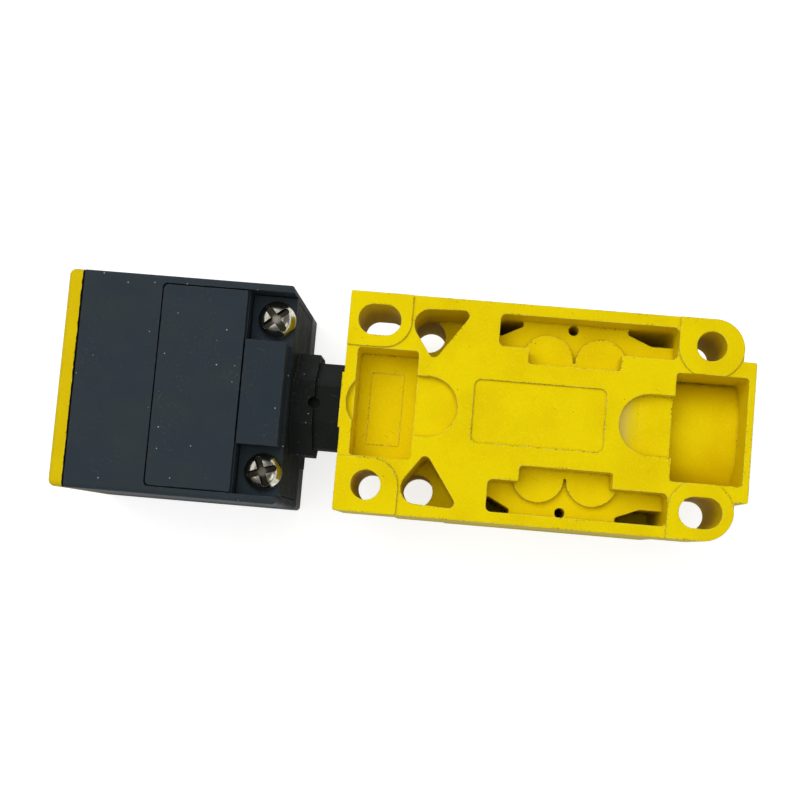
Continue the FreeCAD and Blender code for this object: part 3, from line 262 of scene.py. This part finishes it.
def makeYellow(name, settings, sealedAt=None, frosted=None):
    finish, tree, shader, where = startFinish(name, settings["shine"])
    soft, edge = roundedEdge(tree, settings["edge"])
    patch = blotches(tree, where, **settings["patches"])
    colour = blendColour(tree, patch, settings["face"], settings["patch"])
    fine = cloud(tree, where, **settings["fine"])
    pale = spread(tree, fine, **settings["paleGrain"])
    colour = blendColour(tree, pale, colour, settings["grain"])
    dark = spread(tree, fine, **settings["darkGrain"])
    colour = blendColour(tree, dark, colour, settings["patch"])
    if frosted is not None:      # matt patch on the slope of the scoop
        fade = spread(tree, axesOf(tree, where)[0], **frosted["fade"])
        grains = blotches(tree, where, **frosted["grains"])
        worn = addNode(tree, "Math", {0: fade, 1: grains}, operation="SUBTRACT").outputs[0]
        slope = inBox(tree, where, **frosted["box"])
        frost = times(tree, slope, spread(tree, worn, **frosted["crisp"]))
        colour = blendColour(tree, frost, colour, settings["frost"])
    # painted shade: darker in inner corners, broken into patches like grime
    inner = corners(tree, settings["cornerReach"])
    grimeAndShade = times(tree, inner, blotches(tree, where, **settings["cornerShadePatches"]))
    paintedCornerShade = times(tree, grimeAndShade, settings["cornerShare"])
    colour = blendColour(tree, paintedCornerShade, colour, settings["grimeAndShade"])
    outer = math2(tree, "SUBTRACT", edge, inner)
    rubbed = times(tree, outer, blotches(tree, where, **settings["edgeRub"]))
    colour = blendColour(tree, rubbed, colour, settings["rubbed"])
    dirtyEdge = times(tree, outer, blotches(tree, where, **settings["edgeDirt"]))
    colour = blendColour(tree, dirtyEdge, colour, settings["grimeAndShade"])
    for turn in settings["scratchTurns"]:
        marks = dashes(tree, where, turn=turn, **settings["scratches"])
        marks = times(tree, marks, settings["scratchShare"])
        colour = blendColour(tree, marks, colour, settings["grimeAndShade"])
    colour = blendColour(tree, dots(tree, where, **settings["specks"]), colour, settings["speck"])
    nearEdge = roundedEdge(tree, settings["dirtReach"])[1]
    places = blotches(tree, where, **settings["dirtPlaces"])
    specks = blotches(tree, where, **settings["dirtGrains"])
    dirt = times(tree, times(tree, nearEdge, places), specks)
    colour = blendColour(tree, dirt, colour, settings["speck"])
    if sealedAt is not None:      # sealant that crept out of the joint onto the cap
        ragged = blotches(tree, where, **settings["sealantEdge"])
        along = axesOf(tree, where)[0]
        shifted = addNode(tree, "Math", {0: along, 1: ragged}, operation="ADD").outputs[0]
        smear = spread(tree, shifted, sealedAt - settings["sealantSoft"], sealedAt)
        colour = blendColour(tree, smear, colour, settings["sealant"])
    rough = varied(tree, fine, settings["rough"])
    rough = math2(tree, "ADD", rough, times(tree, grimeAndShade, settings["cornerShadeRough"]))
    endFinish(tree, shader, colour, rough, bumpFrom(tree, fine, normal=soft, **settings["relief"]))
    return finish


# charcoal moulding of the head: fine grain, a little pale dust, faint scuffs; the neck is painted
# darker, partly blacker plastic and partly painted shade
blackPlastic = {
    "face": (0.0235, 0.0335, 0.0430, 1),
    "patch": (0.0275, 0.0360, 0.0400, 1),
    "dust": (0.50, 0.50, 0.47, 1),
    "bloom": (0.075, 0.085, 0.088, 1),
    "rubbed": (0.085, 0.092, 0.092, 1),
    # neck colour: partly blacker plastic, partly painted shade
    "neck": (0.0125, 0.0150, 0.0146, 1),
    "ior": 1.49,
    "gloss": {"head": 0.13, "neck": 0.06},
    "rough": (0.5, 0.64),
    "neckSmoother": 0.16,
    "neckFrom": (-46.3 * mm, -45.6 * mm),
    "edge": 0.25 * mm,
    "patches": {"size": 9 * mm, "detail": 4, "low": 0.4, "high": 0.66},
    "dullness": {"size": 4 * mm, "detail": 4},
    "bloomGrains": {"size": 0.5 * mm, "detail": 4, "low": 0.56, "high": 0.72},
    "bloomPlaces": {"size": 7 * mm, "detail": 3, "low": 0.42, "high": 0.66, "last": 0.4},
    "edgeRub": {"size": 1.8 * mm, "detail": 4, "low": 0.45, "high": 0.62, "last": 0.6},
    "scratches": {"gap": 0.9 * mm, "length": 2.2 * mm, "width": 0.1 * mm, "share": 0.5},
    "scratchTurns": (0.2, -1.1),
    "scratchShare": 0.6,
    "dustDots": {"gap": 1.6 * mm, "radius": 0.14 * mm, "share": 0.4},
    "dustShare": 0.85,
    "fine": {"size": 0.22 * mm, "detail": 2},
    "relief": {"distance": 0.02 * mm, "strength": 0.45},
}


def makeBlack(name, settings, withNeck=False):
    gloss = settings["gloss"]["neck" if withNeck else "head"]
    shine = {"IOR": settings["ior"], "Specular IOR Level": gloss}
    finish, tree, shader, where = startFinish(name, shine)
    soft, edge = roundedEdge(tree, settings["edge"])
    patch = blotches(tree, where, **settings["patches"])
    colour = blendColour(tree, patch, settings["face"], settings["patch"])
    rough = varied(tree, cloud(tree, where, **settings["dullness"]), settings["rough"])
    if withNeck:
        # painted darker neck: partly blacker plastic, partly painted shade
        neck = spread(tree, axesOf(tree, where)[0], *settings["neckFrom"])
        colour = blendColour(tree, neck, colour, settings["neck"])
        rough = math2(tree, "SUBTRACT", rough, times(tree, neck, settings["neckSmoother"]))
    bloom = times(tree, blotches(tree, where, **settings["bloomGrains"]),
                  blotches(tree, where, **settings["bloomPlaces"]))
    colour = blendColour(tree, bloom, colour, settings["bloom"])
    worn = times(tree, edge, blotches(tree, where, **settings["edgeRub"]))
    colour = blendColour(tree, worn, colour, settings["rubbed"])
    for turn in settings["scratchTurns"]:
        marks = dashes(tree, where, turn=turn, **settings["scratches"])
        marks = times(tree, marks, settings["scratchShare"])
        colour = blendColour(tree, marks, colour, settings["rubbed"])
    dust = times(tree, dots(tree, where, **settings["dustDots"]), settings["dustShare"])
    colour = blendColour(tree, dust, colour, settings["dust"])
    fine = cloud(tree, where, **settings["fine"])
    endFinish(tree, shader, colour, rough, bumpFrom(tree, fine, normal=soft, **settings["relief"]))
    return finish


# metals share one recipe: bright face, dull stain, scratches, and painted shade in the cross
# recesses
metals = {
    "nickel_steel": {
        "face": (0.66, 0.63, 0.56, 1), "stain": (0.33, 0.29, 0.07, 1), "rough": (0.14, 0.26)},
    "spring_steel": {
        "face": (0.16, 0.16, 0.165, 1), "stain": (0.06, 0.055, 0.05, 1), "rough": (0.32, 0.5)},
    "brass": {
        "face": (0.78, 0.55, 0.22, 1), "stain": (0.36, 0.22, 0.08, 1), "rough": (0.2, 0.38)},
}
metalWear = {
    "recessShade": (0.045, 0.040, 0.030, 1),
    "recessShadeIn": {"reach": 1.5 * mm, "deepest": 0.66},
    "edge": 0.08 * mm,
    "stains": {"size": 1.1 * mm, "detail": 4, "low": 0.52, "high": 0.72, "last": 0.7},
    "stretch": (1, 1, 0.25),
    "scratches": {"size": 0.12 * mm, "detail": 3},
    "relief": {"distance": 0.006 * mm, "strength": 0.35},
}


def makeMetal(name, settings, wear):
    finish, tree, shader, where = startFinish(name, {"Metallic": 1.0})
    soft = roundedEdge(tree, wear["edge"])[0]
    stain = blotches(tree, where, **wear["stains"])
    colour = blendColour(tree, stain, settings["face"], settings["stain"])
    # painted shade: darker deep in the cross recesses
    colour = blendColour(tree, corners(tree, **wear["recessShadeIn"]), colour, wear["recessShade"])
    lines = addNode(tree, "VectorMath", {0: where, 1: wear["stretch"]}, operation="MULTIPLY")
    scratch = cloud(tree, lines.outputs[0], **wear["scratches"])
    endFinish(tree, shader, colour, varied(tree, scratch, settings["rough"]),
              bumpFrom(tree, scratch, normal=soft, **wear["relief"]))
    return finish


# plain mouldings and other fillings of the chamber and the head
mouldings = {
    "bearing_plastic": {
        "face": (0.60, 0.58, 0.50, 1), "patch": (0.50, 0.48, 0.41, 1), "rough": (0.28, 0.42)},
    "label_plate": {
        "face": (0.62, 0.63, 0.65, 1), "patch": (0.56, 0.57, 0.59, 1), "rough": (0.34, 0.48)},
    "rubber": {
        "face": (0.01, 0.01, 0.0105, 1), "patch": (0.022, 0.021, 0.02, 1), "rough": (0.62, 0.82)},
    "ferrite": {
        "face": (0.030, 0.030, 0.032, 1), "patch": (0.052, 0.050, 0.052, 1), "rough": (0.42, 0.62)},
    "component_black": {
        "face": (0.008, 0.008, 0.009, 1), "patch": (0.016, 0.016, 0.017, 1), "rough": (0.28, 0.5)},
    "terminal_plastic": {
        "face": (0.050, 0.054, 0.058, 1), "patch": (0.070, 0.074, 0.078, 1), "rough": (0.4, 0.6)},
}
mouldingWear = {
    "gloss": 0.4,
    "edge": 0.12 * mm,
    "patches": {"size": 3.5 * mm, "detail": 4, "low": 0.4, "high": 0.65},
    "fine": {"size": 0.2 * mm, "detail": 3},
    "paler": 1.6,      # rubbed edges against the patches
    "edgeRub": {"size": 1.2 * mm, "low": 0.4, "high": 0.6, "last": 0.6},
    "relief": {"distance": 0.015 * mm, "strength": 0.5},
}


def makeMoulding(name, settings, wear):
    finish, tree, shader, where = startFinish(name, {"Specular IOR Level": wear["gloss"]})
    soft, edge = roundedEdge(tree, wear["edge"])
    patch = blotches(tree, where, **wear["patches"])
    colour = blendColour(tree, patch, settings["face"], settings["patch"])
    fine = cloud(tree, where, **wear["fine"])
    paler = [min(1, wear["paler"] * part) for part in settings["patch"][:3]] + [1]
    worn = times(tree, edge, blotches(tree, where, **wear["edgeRub"]))
    colour = blendColour(tree, worn, colour, paler)
    endFinish(tree, shader, colour, varied(tree, fine, settings["rough"]),
              bumpFrom(tree, fine, normal=soft, **wear["relief"]))
    return finish


# clear mouldings: the smoked windows at the head's rear corners and the two lamps behind them
clearPlastics = {
    "smoked_window": {
        "face": (0.055, 0.060, 0.034, 1), "patch": (0.035, 0.037, 0.021, 1),
        "clear": 0.25, "rough": (0.2, 0.38)},
    "lamp": {
        "face": (0.72, 0.46, 0.08, 1), "patch": (0.58, 0.34, 0.05, 1),
        "clear": 0.35, "rough": (0.1, 0.24)},
}
clearWear = {
    "ior": 1.52,
    "edge": 0.15 * mm,
    "patches": {"size": 2.4 * mm, "detail": 4, "low": 0.36, "high": 0.66},
    "fine": {"size": 0.3 * mm, "detail": 3},
    "relief": {"distance": 0.01 * mm, "strength": 0.4},
}


def makeClear(name, settings, wear):
    finish, tree, shader, where = startFinish(
        name, {"IOR": wear["ior"], "Transmission Weight": settings["clear"]})
    soft = roundedEdge(tree, wear["edge"])[0]
    patch = blotches(tree, where, **wear["patches"])
    colour = blendColour(tree, patch, settings["face"], settings["patch"])
    fine = cloud(tree, where, **wear["fine"])
    endFinish(tree, shader, colour, varied(tree, fine, settings["rough"]),
              bumpFrom(tree, fine, normal=soft, **wear["relief"]))
    return finish


# enamelled winding: turns lie side by side along the coil's axis
windingWire = {
    "face": (0.62, 0.20, 0.06, 1),
    "shade": (0.30, 0.075, 0.02, 1),
    "shine": {"Metallic": 1.0, "Coat Weight": 0.4},
    "pitch": 0.3 * mm,
    "waveLength": 0.314,      # of a wave texture at scale 1
    "waver": {"Distortion": 0.6, "Detail": 1.0, "Detail Scale": 2.0},
    "dullness": 0.8 * mm,
    "rough": (0.26, 0.4),
    "relief": 0.05 * mm,
}


def makeWinding(name, settings):
    finish, tree, shader, where = startFinish(name, settings["shine"])
    turns = {"Vector": where, "Scale": settings["waveLength"] / settings["pitch"]}
    wave = addNode(tree, "TexWave", {**turns, **settings["waver"]}, bands_direction="X").outputs[1]
    colour = blendColour(tree, wave, settings["shade"], settings["face"])
    rough = varied(tree, cloud(tree, where, settings["dullness"]), settings["rough"])
    endFinish(tree, shader, colour, rough, bumpFrom(tree, wave, settings["relief"]))
    return finish


# solder mask with copper runs showing through as a paler green
boardMask = {
    "mask": (0.008, 0.085, 0.028, 1),
    "run": (0.02, 0.17, 0.055, 1),
    "gloss": 0.5,
    "runGap": 1.9 * mm,
    "runScatter": 0.55,      # 0 is a plain grid
    "runEdge": {"low": 0.13, "high": 0.09},
    "dullness": 0.6 * mm,
    "rough": (0.24, 0.4),
    "relief": 0.03 * mm,
}


def makeBoard(name, settings):
    finish, tree, shader, where = startFinish(name, {"Specular IOR Level": settings["gloss"]})
    cells = addNode(tree, "TexVoronoi", {
        "Vector": where, "Scale": 1 / settings["runGap"], "Randomness": settings["runScatter"],
    }, feature="DISTANCE_TO_EDGE").outputs["Distance"]
    runs = spread(tree, cells, **settings["runEdge"])
    colour = blendColour(tree, runs, settings["mask"], settings["run"])
    rough = varied(tree, cloud(tree, where, settings["dullness"]), settings["rough"])
    endFinish(tree, shader, colour, rough, bumpFrom(tree, runs, settings["relief"]))
    return finish


# four insulated wires told apart by where they run
wireColours = {
    "brown": (0.10, 0.035, 0.012, 1),
    "white": (0.66, 0.65, 0.61, 1),
    "blue": (0.012, 0.05, 0.26, 1),
    "black": (0.008, 0.008, 0.009, 1),
    "dull": (0.05, 0.045, 0.04, 1),
    "gloss": 0.45,
    "axis": (0.0, 20 * mm),
    "dullPatches": {"size": 1.2 * mm, "detail": 4, "low": 0.4, "high": 0.7, "last": 0.35},
    "fine": {"size": 0.25 * mm, "detail": 3},
    "rough": (0.32, 0.5),
    "relief": 0.012 * mm,
}


def makeWires(name, settings):
    finish, tree, shader, where = startFinish(name, {"Specular IOR Level": settings["gloss"]})
    across, up = axesOf(tree, where)[1:]
    right = math2(tree, "GREATER_THAN", across, settings["axis"][0])
    high = math2(tree, "GREATER_THAN", up, settings["axis"][1])
    lower = blendColour(tree, right, settings["white"], settings["blue"])
    upper = blendColour(tree, right, settings["brown"], settings["black"])
    colour = blendColour(tree, high, lower, upper)
    dull = blotches(tree, where, **settings["dullPatches"])
    colour = blendColour(tree, dull, colour, settings["dull"])
    fine = cloud(tree, where, **settings["fine"])
    endFinish(tree, shader, colour, varied(tree, fine, settings["rough"]),
              bumpFrom(tree, fine, settings["relief"]))
    return finish


finishes = {}
for make, looks, wear in (
    (makeMetal, metals, metalWear),
    (makeMoulding, mouldings, mouldingWear),
    (makeClear, clearPlastics, clearWear),
):
    for name, look in looks.items():
        finishes[name] = make(name + "_finish", look, wear)
finishes["yellow_plastic"] = makeYellow("yellow_finish", yellowPlastic, frosted=scoopFrost)
finishes["black_plastic"] = makeBlack("charcoal_finish", blackPlastic)
finishes["copper"] = makeWinding("winding_finish", windingWire)
finishes["circuit_board"] = makeBoard("board_finish", boardMask)
finishes["wire_insulation"] = makeWires("wire_finish", wireColours)
special = {
    "neck_bracket": makeBlack("neck_finish", blackPlastic, True),
    "sensing_face_cap": makeYellow("cap_shaded_finish", capShadedPlastic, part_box("cap_gasket")[0].x),
}
for name, piece in nodes.items():
    slot = piece.material_slots[0]
    slot.material = special.get(name) or finishes[slot.material.name]
print("finishes laid:", len(bpy.data.materials))


def addPiece(name, builder, body, slot):
    mesh = bpy.data.meshes.new(name)
    builder.normal_update()
    builder.to_mesh(mesh)
    builder.free()
    piece = bpy.data.objects.new(name, mesh)
    scene.collection.objects.link(piece)
    mesh.materials.append(finishes[slot])
    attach(piece, body)


# thread of the cable entry, cut as one ridge that winds along the bore
entryThread = {
    "from": 23.6 * mm, "to": 37.6 * mm, "axisHeight": 20 * mm, "pitch": 1.5 * mm,
    "root": 9.32 * mm, "crest": 9.02 * mm, "foot": 1.24 * mm, "land": 0.3 * mm, "stepsPerTurn": 72,
    "runOut": 10, "least": 0.1,      # each end fades over a tenth, to a tenth of the height
}


def buildThread(settings):
    builder = bmesh.new()
    root, land, foot = settings["root"], settings["land"], settings["foot"]
    run = settings["to"] - settings["from"] - foot
    steps = int(run / settings["pitch"] * settings["stepsPerTurn"])
    rings = []
    for i in range(steps + 1):
        angle = 2 * math.pi * i / settings["stepsPerTurn"]
        fade = min(1, settings["runOut"] * i / steps, settings["runOut"] * (steps - i) / steps)
        height = settings["least"] + (1 - settings["least"]) * fade
        crest = root - (root - settings["crest"]) * height
        start = settings["from"] + run * i / steps
        middle = start + foot / 2
        ring = []
        for x, radius in (
            (start, root), (middle - land / 2, crest),
            (middle + land / 2, crest), (start + foot, root),
        ):
            ring.append(builder.verts.new((
                x, radius * math.cos(angle), settings["axisHeight"] + radius * math.sin(angle))))
        rings.append(ring)
    for a, b in zip(rings, rings[1:]):
        for k in range(4):
            n = (k + 1) % 4
            builder.faces.new((a[k], a[n], b[n], b[k]))
    builder.faces.new(rings[0])
    builder.faces.new(reversed(rings[-1]))
    bmesh.ops.recalc_face_normals(builder, faces=builder.faces)
    return builder


addPiece("entry_thread", buildThread(entryThread), "base", "yellow_plastic")
print("thread cut")

# faint frame moulded into the floor of the recess beside the neck
recessFrame = {
    "low": (-31.4 * mm, -7.2 * mm), "high": (-25.0 * mm, 6.5 * mm),
    "floor": 30.6 * mm, "sunk": 0.05 * mm, "height": 0.07 * mm,
    "foot": 0.34 * mm, "land": 0.14 * mm, "round": 0.5 * mm, "steps": 6,
}


def roundedLoop(low, high, inset, radius, steps):
    points = []
    for cx, cy, start in (
        (high[0] - radius, high[1] - radius, 0), (low[0] + radius, high[1] - radius, 1),
        (low[0] + radius, low[1] + radius, 2), (high[0] - radius, low[1] + radius, 3),
    ):
        for i in range(steps + 1):
            angle = (start + i / steps) * math.pi / 2
            x, y = math.cos(angle), math.sin(angle)
            points.append((cx + (radius - inset) * x, cy + (radius - inset) * y))
    return points


def buildFrame(settings):
    builder = bmesh.new()
    foot, land = settings["foot"], settings["land"]
    half = (foot - land) / 2
    bottom, top = settings["floor"] - settings["sunk"], settings["floor"] + settings["height"]
    rows = []
    for inset, z in ((0, bottom), (half, top), (half + land, top), (foot, bottom)):
        loop = roundedLoop(
            settings["low"], settings["high"], inset, settings["round"], settings["steps"])
        rows.append([builder.verts.new((x, y, z)) for x, y in loop])
    count = len(rows[0])
    for k in range(4):
        a, b = rows[k], rows[(k + 1) % 4]
        for i in range(count):
            j = (i + 1) % count
            builder.faces.new((a[i], a[j], b[j], b[i]))
    bmesh.ops.recalc_face_normals(builder, faces=builder.faces)
    return builder


addPiece("recess_frame", buildFrame(recessFrame), "base", "yellow_plastic")
print("recess frame laid")


def bendWires():
    piece = bpy.data.objects.new("terminal_wires", nodes["terminal_leads"].data.copy())
    scene.collection.objects.link(piece)
    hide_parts("terminal_leads")
    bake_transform(piece)


bendWires()


def addSheet(name, settings, finish, facesDown=False):
    half = settings["size"] / 2
    points = [(-half, -half, 0), (half, -half, 0), (half, half, 0), (-half, half, 0)]
    mesh = bpy.data.meshes.new(name)
    mesh.from_pydata(points, [], [(0, 3, 2, 1) if facesDown else (0, 1, 2, 3)])
    mesh.materials.append(finish)
    sheet = bpy.data.objects.new(name, mesh)
    sheet.location.z = settings["height"]
    scene.collection.objects.link(sheet)
    return sheet


# white floor under the part: it looks white yet still takes the shadow, and is clear from below
studioFloor = {
    "size": 3.0,
    "height": -0.2 * mm,
    "shader": {
        "Base Color": (0.45, 0.45, 0.45, 1), "Roughness": 0.9, "Specular IOR Level": 0.0,
        "Emission Color": white,
    },
    # glow near the part and further out
    "far": {"low": 0.15, "high": 0.9, "first": 0.76, "last": 0.85},
    # reflections see no glow here: painted shade under the part, seen only in reflections
    "under": {"low": (-95 * mm, -27 * mm), "high": (45 * mm, 27 * mm), "soft": 6 * mm},
}


def layFloor(settings):
    finish, tree, shader, where = startFinish("floor_white", settings["shader"])
    under = inBox(tree, where, **settings["under"])
    path = addNode(tree, "LightPath").outputs
    bounced = math2(tree, "ADD", path["Is Glossy Ray"], path["Is Transmission Ray"])
    # painted shade: reflections see the floor without its glow in a box under the part
    bounced = times(tree, bounced, math2(tree, "SUBTRACT", 1.0, under))
    seen = math2(tree, "ADD", path["Is Camera Ray"], bounced)
    far = addNode(tree, "VectorMath", {0: where}, operation="LENGTH").outputs["Value"]
    glow = spread(tree, far, **settings["far"])
    plug(tree, shader.inputs["Emission Strength"], times(tree, seen, glow))
    clear = addNode(tree, "BsdfTransparent").outputs[0]
    below = addNode(tree, "NewGeometry").outputs["Backfacing"]
    both = addNode(tree, "MixShader", {0: below, 1: shader.outputs[0], 2: clear}).outputs[0]
    tree.links.new(both, tree.nodes["Material Output"].inputs["Surface"])
    floor = addSheet("floor", settings, finish)
    floor.visible_diffuse = False      # so that soft light from below reaches the cover


layFloor(studioFloor)

# grey flag above the softboxes: only reflections see it, so that the screws show darker parts
studioFlag = {
    "size": 2.4,
    "height": 0.85,
    "shader": {"Base Color": (0.38, 0.38, 0.36, 1), "Roughness": 1.0},
}


def hangFlag(settings):
    finish = startFinish("flag_grey", settings["shader"])[0]
    flag = addSheet("flag", settings, finish, facesDown=True)
    for kind in ("camera", "diffuse", "transmission", "volume_scatter", "shadow"):
        setattr(flag, "visible_" + kind, False)


hangFlag(studioFlag)

# soft studio light, from the top left of the photo
studioLight = {
    "sky": 0.36,
    "backdrop": 1,      # what the camera and clear or shiny faces see
    "aim": (-0.02, 0, 0.03),
    "lamps": [
        {"at": (-0.14, 0.15, 0.70), "size": 0.60, "power": 3.0, "mirrored": False},
        {"at": (-0.36, 0.15, 0.58), "size": 0.52, "power": 0.70, "mirrored": True},
        {"at": (0.36, -0.20, 0.60), "size": 0.30, "power": 0.35, "mirrored": True},
    ],
}


def setLight(settings):
    world = bpy.data.worlds.new("studio")
    scene.world = world
    world.use_nodes = True
    tree = world.node_tree
    back = tree.nodes["Background"]
    back.inputs["Color"].default_value = white
    path = addNode(tree, "LightPath").outputs
    seen = math2(tree, "ADD", path["Is Camera Ray"], path["Is Transmission Ray"])
    seen = math2(tree, "ADD", seen, path["Is Glossy Ray"])
    strength = spread(tree, seen, 0, 1, settings["sky"], settings["backdrop"])
    plug(tree, back.inputs["Strength"], strength)
    for i, lamp in enumerate(settings["lamps"]):
        light = bpy.data.lights.new(f"softbox{i}", "AREA")
        light.size = lamp["size"]
        light.energy = lamp["power"]
        holder = bpy.data.objects.new(f"softbox{i}", light)
        holder.location = lamp["at"]
        holder.visible_glossy = lamp["mirrored"]
        aim = Vector(settings["aim"]) - Vector(lamp["at"])
        holder.rotation_euler = aim.to_track_quat("-Z", "Y").to_euler()
        scene.collection.objects.link(holder)


setLight(studioLight)
print("studio set")
